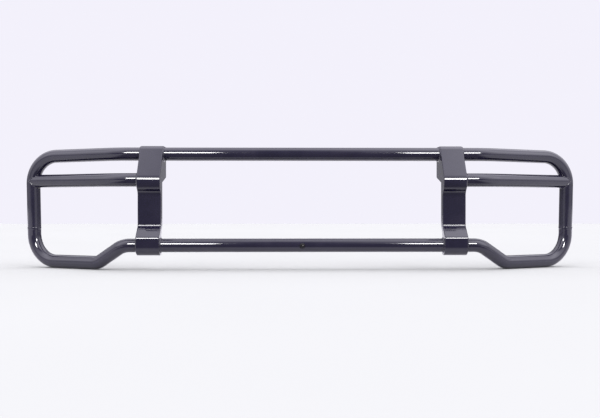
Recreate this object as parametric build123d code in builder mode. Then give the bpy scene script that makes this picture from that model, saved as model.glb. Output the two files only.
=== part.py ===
from build123d import *
import os
from math import acos, atan2, cos, degrees, hypot, radians, sin, sqrt

os.makedirs("parts", exist_ok=True)

# Front grille guard of bent steel tube on two box brackets, in millimetres.
# Origin: centre of the four mounting bolts, on the rear plane of the two mounting plates.
# +X to the right seen from the front, +Y rearwards into the vehicle, +Z up.

# ---------------------------------------------------------------- driving dimensions
# Tube
TUBE_DIAMETER = 38.0
TUBE_WALL = 2.0

# Runs of the hoop and of the lamp bars, as tube centre lines
TOP_TUBE_Y = -34.0
TOP_TUBE_Z = 21.5
LAMP_BAR_DROP = 75.0
LAMP_BAR_FORWARD = 45.0
HOOP_HEIGHT = 256.5
BOTTOM_TUBE_FORWARD = 54.0
LOOP_DROP = 50.0

# Ends of the hoop
END_TUBE_X = 787.0
END_TUBE_LEAN = 6.0
SWEEP_BACK = 70.0
TOP_RUN_DIP = 4.0
CORNER_RADIUS = 78.0
SPLICE_ABOVE_CORNER = 16.0

# Bends beside the brackets, measured outwards from the bracket's outer side
TOP_BEND_OUT = 66.0
TOP_BEND_RADIUS = 230.0
LAMP_BEND_OUT = 60.0
LAMP_BEND_RADIUS = 190.0
DROP_BEND_OUT = 39.0
DROP_LENGTH_X = 77.0
DROP_UPPER_RADIUS = 55.0
DROP_LOWER_RADIUS = 45.0

# Brackets
BRACKET_SPACING = 849.0
BRACKET_WIDTH = 65.0
FACE_THICKNESS = 4.0
FACE_EDGE_RADIUS = 2.5
SIDE_THICKNESS = 3.0
MOUNTING_THICKNESS = 5.0
BOX_HEIGHT = 89.4
NOSE_ROOM = 9.8
NOSE_BEHIND_LAMP_BAR = 8.8
NOSE_BELOW_LAMP_BAR = 3.8
RECESS_BEHIND_NOSE = 19.2
NOSE_FILLET = 22.5
CHANNEL_DEPTH = 22.0
FOOT_ROOM = 4.8
FOOT_DEPTH = 38.8
CREASE_ABOVE_TUBE = 54.6
FOOT_CREASE_RADIUS = 8.0
FOOT_NOSE_RADIUS = 12.0
FOOT_WRAP_PAST_BOTTOM = 20.0
CHANNEL_TOP_GAP = 15.0
TUBE_CLEARANCE = 0.2
SADDLE_LIP = 9.6

# Mounting holes
BOLT_HOLE_RADIUS = 5.5
BOLT_SPACING_Z = 50.0

# Welds
WELD_LEG = 3.0
WELD_BULGE = 0.5
LAMP_WELD = 2.0
LAMP_BAR_STOP = 3.0
SPLICE_GAP = 2.0
SPLICE_CROWN = 0.4
SPLICE_CROWN_WIDTH = 7.0
BACKING_THICKNESS = 1.5
BACKING_WIDTH = 18.0
BACKING_CLEARANCE = 0.1

# Centre screw and threaded insert
INSERT_RADIUS = 5.5
INSERT_LENGTH = 15.0
INSERT_FLANGE_RADIUS = 8.0
INSERT_FLANGE_HEIGHT = 1.4
THREAD_RADIUS = 4.0
THREAD_CLEARANCE = 0.05
SCREW_HEAD_RADIUS = 7.0
SCREW_HEAD_HEIGHT = 4.2
SCREW_HEAD_TAPER = 24.0
SCREW_HEAD_ROUNDING = 1.7
SCREW_LENGTH = 17.0
HEX_KEY_SIZE = 5.0
HEX_KEY_DEPTH = 2.6

# How far a cut runs past the piece it cuts, and how near a line counts as on it
CUT_PAST = 1.0
ON_LINE = 0.1

# ---------------------------------------------------------------- worked-out values
TUBE_R = TUBE_DIAMETER / 2
BORE_R = TUBE_R - TUBE_WALL
SEAT_R = TUBE_R + TUBE_CLEARANCE
WRAP_R = SEAT_R + FACE_THICKNESS

LAMP_BAR_Y = TOP_TUBE_Y - LAMP_BAR_FORWARD
LAMP_BAR_Z = TOP_TUBE_Z - LAMP_BAR_DROP
BOTTOM_TUBE_Y = TOP_TUBE_Y - BOTTOM_TUBE_FORWARD
BOTTOM_TUBE_Z = TOP_TUBE_Z - HOOP_HEIGHT
LOOP_Z = BOTTOM_TUBE_Z - LOOP_DROP
END_TUBE_Y = TOP_TUBE_Y + SWEEP_BACK
END_TOP_Z = TOP_TUBE_Z - TOP_RUN_DIP
SPLICE_Z = LOOP_Z + CORNER_RADIUS + SPLICE_ABOVE_CORNER

BRACKET_X = BRACKET_SPACING / 2
BRACKET_OUT_X = BRACKET_X + BRACKET_WIDTH / 2
NOSE_RADIUS = WRAP_R + NOSE_ROOM
NOSE_Y = LAMP_BAR_Y + NOSE_BEHIND_LAMP_BAR
NOSE_Z = LAMP_BAR_Z - NOSE_BELOW_LAMP_BAR
RECESS_Y = NOSE_Y - NOSE_RADIUS + RECESS_BEHIND_NOSE
FOOT_WRAP_R = WRAP_R + FOOT_ROOM
BOX_TOP_Z = TOP_TUBE_Z + WRAP_R
BOX_BOTTOM_Z = BOX_TOP_Z - BOX_HEIGHT


def end_tube_x(z):
    """Centre line of the end tube, which leans slightly inwards towards its foot."""
    share = (END_TOP_Z - z) / (END_TOP_Z - LOOP_Z)
    return END_TUBE_X - END_TUBE_LEAN * share


# ---------------------------------------------------------------- tube runs
TOP_BEND_X = BRACKET_OUT_X + TOP_BEND_OUT
DROP_BEND_X = BRACKET_OUT_X + DROP_BEND_OUT
LOOP_BEND_X = DROP_BEND_X + DROP_LENGTH_X
LOOP_CORNER_X = end_tube_x(LOOP_Z)


def loop_run_y(x):
    """The drop and the loop's bottom run sweep back in one straight line seen from above."""
    share = (x - DROP_BEND_X) / (LOOP_CORNER_X - DROP_BEND_X)
    return BOTTOM_TUBE_Y + share * (END_TUBE_Y - BOTTOM_TUBE_Y)


def both_ends(right_half):
    """Points of a symmetrical run, from its left end to its right end."""
    left_half = [(-x, y, z) for x, y, z in reversed(right_half)]
    return left_half + right_half


def upper_hoop_points(cut_z):
    return both_ends(
        [
            (TOP_BEND_X, TOP_TUBE_Y, TOP_TUBE_Z),
            (end_tube_x(END_TOP_Z), END_TUBE_Y, END_TOP_Z),
            (end_tube_x(cut_z), END_TUBE_Y, cut_z),
        ]
    )


def lower_hoop_points(cut_z):
    return both_ends(
        [
            (DROP_BEND_X, BOTTOM_TUBE_Y, BOTTOM_TUBE_Z),
            (LOOP_BEND_X, loop_run_y(LOOP_BEND_X), LOOP_Z),
            (LOOP_CORNER_X, END_TUBE_Y, LOOP_Z),
            (end_tube_x(cut_z), END_TUBE_Y, cut_z),
        ]
    )


UPPER_RADII = [CORNER_RADIUS, TOP_BEND_RADIUS, TOP_BEND_RADIUS, CORNER_RADIUS]
LOWER_HALF_RADII = [CORNER_RADIUS, DROP_LOWER_RADIUS, DROP_UPPER_RADIUS]
LOWER_RADII = LOWER_HALF_RADII + LOWER_HALF_RADII[::-1]


def tube_along(points, radii, outer, bore):
    """A round tube, or a solid bar where bore is 0, along straight runs joined by bends."""
    with BuildPart() as run:
        with BuildLine() as path:
            FilletPolyline(*points, radius=radii)
        with BuildSketch(Plane(origin=path.line @ 0, z_dir=path.line % 0)):
            Circle(outer)
            if bore:
                Circle(bore, mode=Mode.SUBTRACT)
        sweep(path=path.line)
    return run.part


# Upper hoop tube: one bent tube from splice to splice
with BuildPart() as upper_hoop_tube:
    add(tube_along(upper_hoop_points(SPLICE_Z + SPLICE_GAP / 2), UPPER_RADII, TUBE_R, BORE_R))
upper_hoop_tube.part.label = "upper_hoop_tube"
export_step(upper_hoop_tube.part, "parts/upper_hoop_tube.step")

# Lower hoop tube, with the hole for the threaded insert in the middle of its front wall
with BuildPart() as lower_hoop_tube:
    add(tube_along(lower_hoop_points(SPLICE_Z - SPLICE_GAP / 2), LOWER_RADII, TUBE_R, BORE_R))
    with BuildSketch(Plane.XZ.offset(-BOTTOM_TUBE_Y)):
        with Locations((0, BOTTOM_TUBE_Z)):
            Circle(INSERT_RADIUS)
    extrude(amount=TUBE_R + TUBE_WALL, mode=Mode.SUBTRACT)
lower_hoop_tube.part.label = "lower_hoop_tube"
export_step(lower_hoop_tube.part, "parts/lower_hoop_tube.step")

# Full round copies of the hoop's outside, for coping the lamp bars and their welds
with BuildPart() as hoop_outside:
    add(tube_along(upper_hoop_points(SPLICE_Z), UPPER_RADII, TUBE_R, 0))
with BuildPart() as hoop_weld_zone:
    add(tube_along(upper_hoop_points(SPLICE_Z), UPPER_RADII, TUBE_R + LAMP_WELD, 0))

# ---------------------------------------------------------------- centre screw
INSERT_FACE_Y = BOTTOM_TUBE_Y - TUBE_R - INSERT_FLANGE_HEIGHT
CENTRE_PLANE = Plane(origin=(0, INSERT_FACE_Y, BOTTOM_TUBE_Z), x_dir=(1, 0, 0), z_dir=(0, -1, 0))

# Threaded insert: flanged steel sleeve pressed into the tube's front wall
with BuildPart() as centre_insert:
    with BuildSketch(CENTRE_PLANE):
        Circle(INSERT_FLANGE_RADIUS)
    extrude(amount=-(INSERT_FLANGE_HEIGHT + TUBE_WALL))
    with BuildSketch(Plane.YZ):
        with Locations((BOTTOM_TUBE_Y, BOTTOM_TUBE_Z)):
            Circle(TUBE_R)
    extrude(amount=INSERT_FLANGE_RADIUS + CUT_PAST, both=True, mode=Mode.SUBTRACT)
    with BuildSketch(CENTRE_PLANE):
        Circle(INSERT_RADIUS - THREAD_CLEARANCE)
    extrude(amount=-INSERT_LENGTH)
    with BuildSketch(CENTRE_PLANE):
        Circle(THREAD_RADIUS)
    extrude(amount=-INSERT_LENGTH, mode=Mode.SUBTRACT)
centre_insert.part.label = "centre_insert"
export_step(centre_insert.part, "parts/centre_insert.step")

# Button-head screw with a hexagon socket
with BuildPart() as centre_screw:
    with BuildSketch(CENTRE_PLANE):
        Circle(SCREW_HEAD_RADIUS)
    extrude(amount=SCREW_HEAD_HEIGHT, taper=SCREW_HEAD_TAPER)
    fillet(centre_screw.faces().sort_by(Axis.Y)[0].edges(), radius=SCREW_HEAD_ROUNDING)
    with BuildSketch(CENTRE_PLANE.offset(SCREW_HEAD_HEIGHT)):
        RegularPolygon(HEX_KEY_SIZE / 2, 6, major_radius=False)
    extrude(amount=-HEX_KEY_DEPTH, mode=Mode.SUBTRACT)
    with BuildSketch(CENTRE_PLANE):
        Circle(THREAD_RADIUS - THREAD_CLEARANCE)
    extrude(amount=-SCREW_LENGTH)
centre_screw.part.label = "centre_screw"
export_step(centre_screw.part, "parts/centre_screw.step")

# ---------------------------------------------------------------- bracket outline
# Side view of a bracket, drawn in the YZ plane: the face plate's outside, from the top of the
# box forwards and down to where it ends under the bottom tube.
NOSE_BEARING = 180 + degrees(atan2(TOP_TUBE_Z - NOSE_Z, TOP_TUBE_Y - NOSE_Y))
NOSE_DISTANCE = hypot(TOP_TUBE_Y - NOSE_Y, TOP_TUBE_Z - NOSE_Z)
SLOPE_NORMAL = NOSE_BEARING - degrees(acos((WRAP_R - NOSE_RADIUS) / NOSE_DISTANCE))
NOSE_REACH = NOSE_RADIUS + NOSE_FILLET
NOSE_FILLET_Y = RECESS_Y - NOSE_FILLET
NOSE_FILLET_Z = NOSE_Z - sqrt(NOSE_REACH**2 - (NOSE_Y - NOSE_FILLET_Y) ** 2)
NOSE_END_ANGLE = 180 + degrees(atan2(NOSE_Z - NOSE_FILLET_Z, NOSE_Y - NOSE_FILLET_Y))
FOOT_FRONT_Y = BOTTOM_TUBE_Y - FOOT_WRAP_R
CREASE_Z = BOTTOM_TUBE_Z + CREASE_ABOVE_TUBE
FOOT_SLOPE_END_Z = CREASE_Z - (RECESS_Y - FOOT_FRONT_Y)
WRAP_END_ANGLE = 270 + FOOT_WRAP_PAST_BOTTOM
FOOT_REAR_Y = FOOT_FRONT_Y + FOOT_DEPTH
CHANNEL_REAR_Y = RECESS_Y + CHANNEL_DEPTH


def around(y, z, radius, angle):
    """Point on a circle in the YZ plane, with the angle in degrees from +Y towards +Z."""
    return (y + radius * cos(radians(angle)), z + radius * sin(radians(angle)))


SLOPE_TOP = around(TOP_TUBE_Y, TOP_TUBE_Z, WRAP_R, SLOPE_NORMAL)
SLOPE_END = around(NOSE_Y, NOSE_Z, NOSE_RADIUS, SLOPE_NORMAL)
FACE_START = (-MOUNTING_THICKNESS, BOX_TOP_Z)
FACE_END = around(BOTTOM_TUBE_Y, BOTTOM_TUBE_Z, FOOT_WRAP_R, WRAP_END_ANGLE)


def face_outside():
    """Draws the outside of the face plate in the active line builder."""
    Line(FACE_START, (TOP_TUBE_Y, BOX_TOP_Z))
    CenterArc((TOP_TUBE_Y, TOP_TUBE_Z), WRAP_R, 90, SLOPE_NORMAL - 90)
    Line(SLOPE_TOP, SLOPE_END)
    CenterArc((NOSE_Y, NOSE_Z), NOSE_RADIUS, SLOPE_NORMAL, NOSE_END_ANGLE - SLOPE_NORMAL)
    CenterArc((NOSE_FILLET_Y, NOSE_FILLET_Z), NOSE_FILLET, NOSE_END_ANGLE - 180, 180 - NOSE_END_ANGLE)
    FilletPolyline(
        (RECESS_Y, NOSE_FILLET_Z),
        (RECESS_Y, CREASE_Z),
        (FOOT_FRONT_Y, FOOT_SLOPE_END_Z),
        (FOOT_FRONT_Y, BOTTOM_TUBE_Z),
        radius=[FOOT_CREASE_RADIUS, FOOT_NOSE_RADIUS],
    )
    CenterArc((BOTTOM_TUBE_Y, BOTTOM_TUBE_Z), FOOT_WRAP_R, 180, WRAP_END_ANGLE - 180)


with BuildLine(Plane.XY) as face_line:
    face_outside()

# Section of the face plate: its outside and an inner line one thickness behind it
with BuildSketch(Plane.XY) as face_section:
    with BuildLine():
        add(face_line.line)
        offset(amount=FACE_THICKNESS, side=Side.LEFT)
    make_face()

# Side plate: all that lies behind the face plate, less a saddle for each of the two through
# tubes. The upper saddle is open towards the face plate, so that no thin edge is left there.
SADDLE_CUT = 4 * WRAP_R
with BuildSketch(Plane.XY) as side_section:
    with BuildLine():
        add(face_line.line)
        Polyline(
            FACE_END,
            (FOOT_REAR_Y, FACE_END[1]),
            (FOOT_REAR_Y, CREASE_Z - CHANNEL_DEPTH),
            (CHANNEL_REAR_Y, CREASE_Z),
            (CHANNEL_REAR_Y, BOX_BOTTOM_Z - CHANNEL_TOP_GAP),
            (-MOUNTING_THICKNESS, BOX_BOTTOM_Z),
            FACE_START,
        )
    make_face()
    add(face_section.sketch, mode=Mode.SUBTRACT)
    with Locations((TOP_TUBE_Y, TOP_TUBE_Z), (BOTTOM_TUBE_Y, BOTTOM_TUBE_Z)):
        Circle(SEAT_R, mode=Mode.SUBTRACT)
    with Locations((TOP_TUBE_Y + SADDLE_LIP, TOP_TUBE_Z)):
        Rectangle(SADDLE_CUT, SADDLE_CUT, align=(Align.MAX, Align.MIN), mode=Mode.SUBTRACT)


def on_face_outside(edge):
    """True for an edge that follows the outside of the face plate."""
    middle = edge @ 0.5
    return face_line.line.distance_to(Vector(middle.Y, middle.Z, 0)) < ON_LINE


def weld_ring(face_x, outward, centre_y, centre_z):
    """Fillet weld round a tube that runs along X, on a plate's face at face_x."""
    plane = Plane(origin=(0, centre_y, centre_z), x_dir=(1, 0, 0), z_dir=(0, -1, 0))
    toe_x = face_x + outward * WELD_LEG
    middle = (face_x + outward * (WELD_LEG / 2 + WELD_BULGE), TUBE_R + WELD_LEG / 2 + WELD_BULGE)
    with BuildPart() as ring:
        with BuildSketch(plane):
            with BuildLine():
                Polyline((toe_x, TUBE_R), (face_x, TUBE_R), (face_x, TUBE_R + WELD_LEG))
                ThreePointArc((face_x, TUBE_R + WELD_LEG), middle, (toe_x, TUBE_R))
            make_face()
        revolve(axis=Axis((0, centre_y, centre_z), (1, 0, 0)))
    return ring.part


# ---------------------------------------------------------------- both sides
for side, sign in (("left", -1), ("right", 1)):
    inner_x = sign * (BRACKET_X - BRACKET_WIDTH / 2)
    outer_x = sign * BRACKET_OUT_X

    # Face plate: thick sheet bent to the bracket's front, with its long edges rounded off
    with BuildPart() as face_plate:
        with BuildSketch(Plane.YZ.offset(sign * BRACKET_X)):
            add(face_section.sketch)
        extrude(amount=BRACKET_WIDTH / 2, both=True)
        long_edges = face_plate.faces().filter_by(Axis.X).edges().filter_by(on_face_outside)
        fillet(long_edges, radius=FACE_EDGE_RADIUS)
    face_plate.part.label = f"face_plate_{side}"
    export_step(face_plate.part, f"parts/face_plate_{side}.step")

    # Side plates: the bracket's two flat walls, behind the face plate
    for place, wall_x, inward in (("inner", inner_x, sign), ("outer", outer_x, -sign)):
        with BuildPart() as side_plate:
            with BuildSketch(Plane.YZ.offset(wall_x)):
                add(side_section.sketch)
            extrude(amount=inward * SIDE_THICKNESS)
        side_plate.part.label = f"{place}_side_plate_{side}"
        export_step(side_plate.part, f"parts/{place}_side_plate_{side}.step")

    # Mounting plate: back wall of the upper box, with two bolt holes one above the other
    with BuildPart() as mounting_plate:
        with BuildSketch(Plane.XZ):
            with Locations((sign * BRACKET_X, BOX_TOP_Z - BOX_HEIGHT / 2)):
                RectangleRounded(BRACKET_WIDTH, BOX_HEIGHT, FACE_EDGE_RADIUS)
            with Locations((sign * BRACKET_X, 0)):
                with GridLocations(0, BOLT_SPACING_Z, 1, 2):
                    Circle(BOLT_HOLE_RADIUS, mode=Mode.SUBTRACT)
        extrude(amount=MOUNTING_THICKNESS)
    mounting_plate.part.label = f"mounting_plate_{side}"
    export_step(mounting_plate.part, f"parts/mounting_plate_{side}.step")

    # Lamp bar: from the bracket's outer side, bent back and coped onto the hoop's end tube
    bend_x = sign * (BRACKET_OUT_X + LAMP_BEND_OUT)
    end_x = sign * (end_tube_x(LAMP_BAR_Z) - LAMP_BAR_STOP)
    lamp_points = [
        (outer_x, LAMP_BAR_Y, LAMP_BAR_Z),
        (bend_x, LAMP_BAR_Y, LAMP_BAR_Z),
        (end_x, END_TUBE_Y, LAMP_BAR_Z),
    ]
    with BuildPart() as lamp_bar:
        add(tube_along(lamp_points, [LAMP_BEND_RADIUS], TUBE_R, BORE_R))
        add(hoop_outside.part, mode=Mode.SUBTRACT)
    lamp_bar.part.label = f"lamp_bar_{side}"
    export_step(lamp_bar.part, f"parts/lamp_bar_{side}.step")

    # Weld between the lamp bar and the end tube, dressed to a low bead
    with BuildPart() as lamp_bar_end_weld:
        add(tube_along(lamp_points, [LAMP_BEND_RADIUS], TUBE_R + LAMP_WELD, TUBE_R))
        add(hoop_weld_zone.part, mode=Mode.INTERSECT)
        add(hoop_outside.part, mode=Mode.SUBTRACT)
    lamp_bar_end_weld.part.label = f"lamp_bar_end_weld_{side}"
    export_step(lamp_bar_end_weld.part, f"parts/lamp_bar_end_weld_{side}.step")

    # Weld round the lamp bar's root on the outer side plate
    with BuildPart() as lamp_bar_root_weld:
        add(weld_ring(outer_x, sign, LAMP_BAR_Y, LAMP_BAR_Z))
    lamp_bar_root_weld.part.label = f"lamp_bar_root_weld_{side}"
    export_step(lamp_bar_root_weld.part, f"parts/lamp_bar_root_weld_{side}.step")

    # Welds round the top tube, on both outsides of the bracket
    with BuildPart() as top_tube_welds:
        add(weld_ring(inner_x, -sign, TOP_TUBE_Y, TOP_TUBE_Z))
        add(weld_ring(outer_x, sign, TOP_TUBE_Y, TOP_TUBE_Z))
    top_tube_welds.part.label = f"top_tube_welds_{side}"
    export_step(top_tube_welds.part, f"parts/top_tube_welds_{side}.step")

    # Welds round the bottom tube, which stop at the rear edge of the side plates
    with BuildPart() as bottom_tube_welds:
        add(weld_ring(inner_x, -sign, BOTTOM_TUBE_Y, BOTTOM_TUBE_Z))
        add(weld_ring(outer_x, sign, BOTTOM_TUBE_Y, BOTTOM_TUBE_Z))
        with BuildSketch(Plane.XZ.offset(-FOOT_REAR_Y)):
            with Locations((sign * BRACKET_X, BOTTOM_TUBE_Z)):
                Rectangle(2 * BRACKET_WIDTH, 4 * TUBE_R)
        extrude(amount=-2 * TUBE_R, mode=Mode.SUBTRACT)
    bottom_tube_welds.part.label = f"bottom_tube_welds_{side}"
    export_step(bottom_tube_welds.part, f"parts/bottom_tube_welds_{side}.step")

    # Butt weld that closes the hoop in the end tube, and the backing ring inside it
    splice_point = Vector(sign * end_tube_x(SPLICE_Z), END_TUBE_Y, SPLICE_Z)
    end_tube_top = Vector(sign * end_tube_x(END_TOP_Z), END_TUBE_Y, END_TOP_Z)
    splice_plane = Plane(origin=splice_point, z_dir=end_tube_top - splice_point)
    with BuildPart() as hoop_splice_weld:
        with BuildSketch(splice_plane):
            Circle(TUBE_R)
            Circle(BORE_R, mode=Mode.SUBTRACT)
        extrude(amount=SPLICE_GAP / 2, both=True)
        with BuildSketch(splice_plane):
            Circle(TUBE_R + SPLICE_CROWN)
            Circle(TUBE_R, mode=Mode.SUBTRACT)
        extrude(amount=SPLICE_CROWN_WIDTH / 2, both=True)
    hoop_splice_weld.part.label = f"hoop_splice_weld_{side}"
    export_step(hoop_splice_weld.part, f"parts/hoop_splice_weld_{side}.step")

    with BuildPart() as backing_ring:
        with BuildSketch(splice_plane):
            Circle(BORE_R - BACKING_CLEARANCE)
            Circle(BORE_R - BACKING_CLEARANCE - BACKING_THICKNESS, mode=Mode.SUBTRACT)
        extrude(amount=BACKING_WIDTH / 2, both=True)
    backing_ring.part.label = f"backing_ring_{side}"
    export_step(backing_ring.part, f"parts/backing_ring_{side}.step")
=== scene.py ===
from math import asin, atan2, ceil, cos, pi, radians, sin, sqrt, tan

import bmesh
import bpy
from mathutils import Matrix, Vector, noise


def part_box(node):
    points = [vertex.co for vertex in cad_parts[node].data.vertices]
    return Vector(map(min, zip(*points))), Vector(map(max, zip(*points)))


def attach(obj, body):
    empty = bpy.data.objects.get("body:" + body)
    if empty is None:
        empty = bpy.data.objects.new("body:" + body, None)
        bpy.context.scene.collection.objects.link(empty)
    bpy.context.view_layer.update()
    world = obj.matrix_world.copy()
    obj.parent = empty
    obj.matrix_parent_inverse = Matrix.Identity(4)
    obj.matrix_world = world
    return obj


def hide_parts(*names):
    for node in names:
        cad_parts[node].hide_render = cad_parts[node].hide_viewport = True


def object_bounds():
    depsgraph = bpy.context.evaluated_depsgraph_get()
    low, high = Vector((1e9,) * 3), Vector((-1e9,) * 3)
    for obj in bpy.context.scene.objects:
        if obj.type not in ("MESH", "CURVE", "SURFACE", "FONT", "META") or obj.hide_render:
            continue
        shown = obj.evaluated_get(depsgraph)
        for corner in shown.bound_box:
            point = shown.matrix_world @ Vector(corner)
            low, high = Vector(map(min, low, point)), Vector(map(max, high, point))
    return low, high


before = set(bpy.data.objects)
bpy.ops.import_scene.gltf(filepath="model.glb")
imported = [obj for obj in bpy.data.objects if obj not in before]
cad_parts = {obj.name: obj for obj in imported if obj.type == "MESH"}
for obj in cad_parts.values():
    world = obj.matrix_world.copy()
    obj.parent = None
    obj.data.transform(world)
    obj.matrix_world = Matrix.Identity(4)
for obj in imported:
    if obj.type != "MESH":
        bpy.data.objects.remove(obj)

cad_low, cad_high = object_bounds()
scene = bpy.context.scene
scene.view_settings.view_transform = "Standard"

# ---------------------------------------------------------------- floor
# Pale paper on the ground. The guard stands on the lowest points of its two lamp loops, and the
# paper runs back a few metres to the tent. Looked at straight it is evenly lit. In reflections it
# has a brighter colour, painted light, and is darker in a wedge in front, painted shade.
FLOOR_HALF_WIDTH = 12.0
FLOOR_FRONT_Y = -10.0
FLOOR_BACK_Y = 5.4
PAPER_LIGHT = (0.394, 0.401, 0.380, 1)
PAPER_DARK = (0.388, 0.395, 0.374, 1)
# As reflections see it, the paper is brighter all round, painted light, and darker in the wedge in
# front, painted shade
PAPER_PAINTED_LIGHT_AROUND = (0.75, 0.75, 0.75, 1)
PAPER_PAINTED_SHADE_IN_FRONT = (0.16, 0.16, 0.16, 1)
PAPER_MOTTLE_SCALE = 1.2
PAPER_ROUGHNESS = 0.9
# Nearly all of a noise's values lie between these
NOISE_SPAN = (0.3, 0.7)
WEDGE_WIDENING = 0.25
WEDGE_SIDE_STARTS = 0.55
WEDGE_SIDE_ENDS = 0.75
WEDGE_BACK_STARTS = -0.30
WEDGE_BACK_ENDS = -0.14


def new_material(name):
    """An empty node material with its output, ready for a shader."""
    material = bpy.data.materials.new(name)
    material.use_nodes = True
    material.node_tree.nodes.clear()
    return material


def add_node(tree, kind, **settings):
    """A node of one kind, with its own settings such as its operation."""
    node = tree.nodes.new(kind)
    for name, value in settings.items():
        setattr(node, name, value)
    return node


def feed(tree, target, source):
    """Links a socket into an input, or sets the input to a plain value."""
    if isinstance(source, bpy.types.NodeSocket):
        tree.links.new(source, target)
    else:
        target.default_value = source


def maths(tree, operation, *values):
    """One step of arithmetic between sockets or numbers."""
    node = add_node(tree, "ShaderNodeMath", operation=operation)
    for socket, value in zip(node.inputs, values):
        feed(tree, socket, value)
    return node.outputs[0]


def noise_value(tree, where, scale, detail=2.0, roughness=0.5):
    """Smooth noise from 0 to 1, with its scale in waves per metre."""
    node = add_node(tree, "ShaderNodeTexNoise")
    feed(tree, node.inputs["Vector"], where)
    node.inputs["Scale"].default_value = scale
    node.inputs["Detail"].default_value = detail
    node.inputs["Roughness"].default_value = roughness
    return node.outputs["Fac"]


def remap(tree, value, low, high, to_low, to_high):
    """Maps low..high to to_low..to_high with a soft start and stop, and holds the ends."""
    node = add_node(tree, "ShaderNodeMapRange", interpolation_type="SMOOTHSTEP")
    feed(tree, node.inputs["Value"], value)
    ends = {"From Min": low, "From Max": high, "To Min": to_low, "To Max": to_high}
    for name, number in ends.items():
        feed(tree, node.inputs[name], number)
    return node.outputs["Result"]


def blend_colours(tree, share, first, second):
    """Mixes two colours by a share from 0 to 1."""
    node = add_node(tree, "ShaderNodeMix", data_type="RGBA")
    feed(tree, node.inputs[0], share)
    feed(tree, node.inputs[6], first)
    feed(tree, node.inputs[7], second)
    return node.outputs[2]


def object_coordinates(tree):
    """A place on the piece in metres, in the guard's own frame."""
    return add_node(tree, "ShaderNodeTexCoord").outputs["Object"]


def principled(material):
    """The material's Principled shader, joined to its output."""
    tree = material.node_tree
    shader = add_node(tree, "ShaderNodeBsdfPrincipled")
    output = add_node(tree, "ShaderNodeOutputMaterial")
    tree.links.new(shader.outputs[0], output.inputs["Surface"])
    return shader


floor_bm = bmesh.new()
bmesh.ops.create_grid(floor_bm, x_segments=1, y_segments=1, size=1.0)
half_depth = (FLOOR_BACK_Y - FLOOR_FRONT_Y) / 2
middle_y = (FLOOR_BACK_Y + FLOOR_FRONT_Y) / 2
bmesh.ops.scale(floor_bm, vec=(FLOOR_HALF_WIDTH, half_depth, 1), verts=floor_bm.verts)
bmesh.ops.translate(floor_bm, vec=(0, middle_y, cad_low.z), verts=floor_bm.verts)
floor_mesh = bpy.data.meshes.new("floor")
floor_bm.to_mesh(floor_mesh)
floor_bm.free()
floor = bpy.data.objects.new("floor", floor_mesh)
scene.collection.objects.link(floor)

floor_paper = new_material("floor_paper")
tree = floor_paper.node_tree
shader = principled(floor_paper)
where = object_coordinates(tree)
place = add_node(tree, "ShaderNodeSeparateXYZ")
feed(tree, place.inputs[0], where)
from_middle = maths(tree, "ABSOLUTE", place.outputs["X"])
from_wedge = maths(tree, "MULTIPLY_ADD", place.outputs["Y"], WEDGE_WIDENING, from_middle)
beside = remap(tree, from_wedge, WEDGE_SIDE_STARTS, WEDGE_SIDE_ENDS, 0.0, 1.0)
behind = remap(tree, place.outputs["Y"], WEDGE_BACK_STARTS, WEDGE_BACK_ENDS, 0.0, 1.0)
# Outside the wedge reflections get the brighter painted light, inside it the painted shade
off_wedge = maths(tree, "MAXIMUM", beside, behind)
mirrored_paper_painted_light = blend_colours(tree, off_wedge, PAPER_PAINTED_SHADE_IN_FRONT, PAPER_PAINTED_LIGHT_AROUND)
paper_mottle = noise_value(tree, where, PAPER_MOTTLE_SCALE)
paper_tone = remap(tree, paper_mottle, *NOISE_SPAN, 0.0, 1.0)
seen_paper = blend_colours(tree, paper_tone, PAPER_DARK, PAPER_LIGHT)
seen = add_node(tree, "ShaderNodeLightPath").outputs["Is Camera Ray"]
feed(tree, shader.inputs["Base Color"], blend_colours(tree, seen, mirrored_paper_painted_light, seen_paper))
shader.inputs["Roughness"].default_value = PAPER_ROUGHNESS
shader.inputs["Specular IOR Level"].default_value = 0.0
floor_mesh.materials.append(floor_paper)

# ---------------------------------------------------------------- studio light
# A pale cloth tent: dim in front where the camera stands and low down behind, bright overhead
# and at both sides. Two small softboxes in front draw the thin bright lines on the tubes.
TENT_RADIANCE = 0.42
TENT_SEEN = 0.88
LIGHT_TINT = (1.02, 1.0, 1.10)

# Azimuth from the front towards the right, elevation, half angle of the full part, half angle
# where the patch ends, all in degrees, and the radiance it adds
TENT_PATCHES = (
    (180, 70, 20, 50, 0.8),
    (0, 84, 14, 34, 0.75),
    (-44, 40, 10, 34, 1.7),
    (44, 40, 10, 34, 2.0),
    (-95, 48, 20, 52, 1.6),
    (95, 48, 20, 52, 2.0),
    (-62, 0, 15, 36, 0.8),
    (58, 0, 15, 36, 0.9),
)
SOFTBOX_WIDTH = 0.62
SOFTBOX_HEIGHT = 0.38
# Name, place and radiance of each softbox
SOFTBOXES = (
    ("left", Vector((-0.75, -1.85, 0.8)), 54.0),
    ("right", Vector((0.92, -1.85, 0.8)), 52.0),
)

world = bpy.data.worlds.new("tent")
scene.world = world
world.use_nodes = True
tree = world.node_tree
tree.nodes.clear()
look = add_node(tree, "ShaderNodeTexCoord").outputs["Generated"]
total = TENT_RADIANCE
for azimuth, elevation, full, end, radiance in TENT_PATCHES:
    flat = cos(radians(elevation))
    towards = (flat * sin(radians(azimuth)), -flat * cos(radians(azimuth)), sin(radians(elevation)))
    facing = add_node(tree, "ShaderNodeVectorMath", operation="DOT_PRODUCT")
    feed(tree, facing.inputs[0], look)
    facing.inputs[1].default_value = towards
    rim, core = cos(radians(end)), cos(radians(full))
    share = remap(tree, facing.outputs["Value"], rim, core, 0.0, radiance)
    total = maths(tree, "ADD", share, total)
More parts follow.
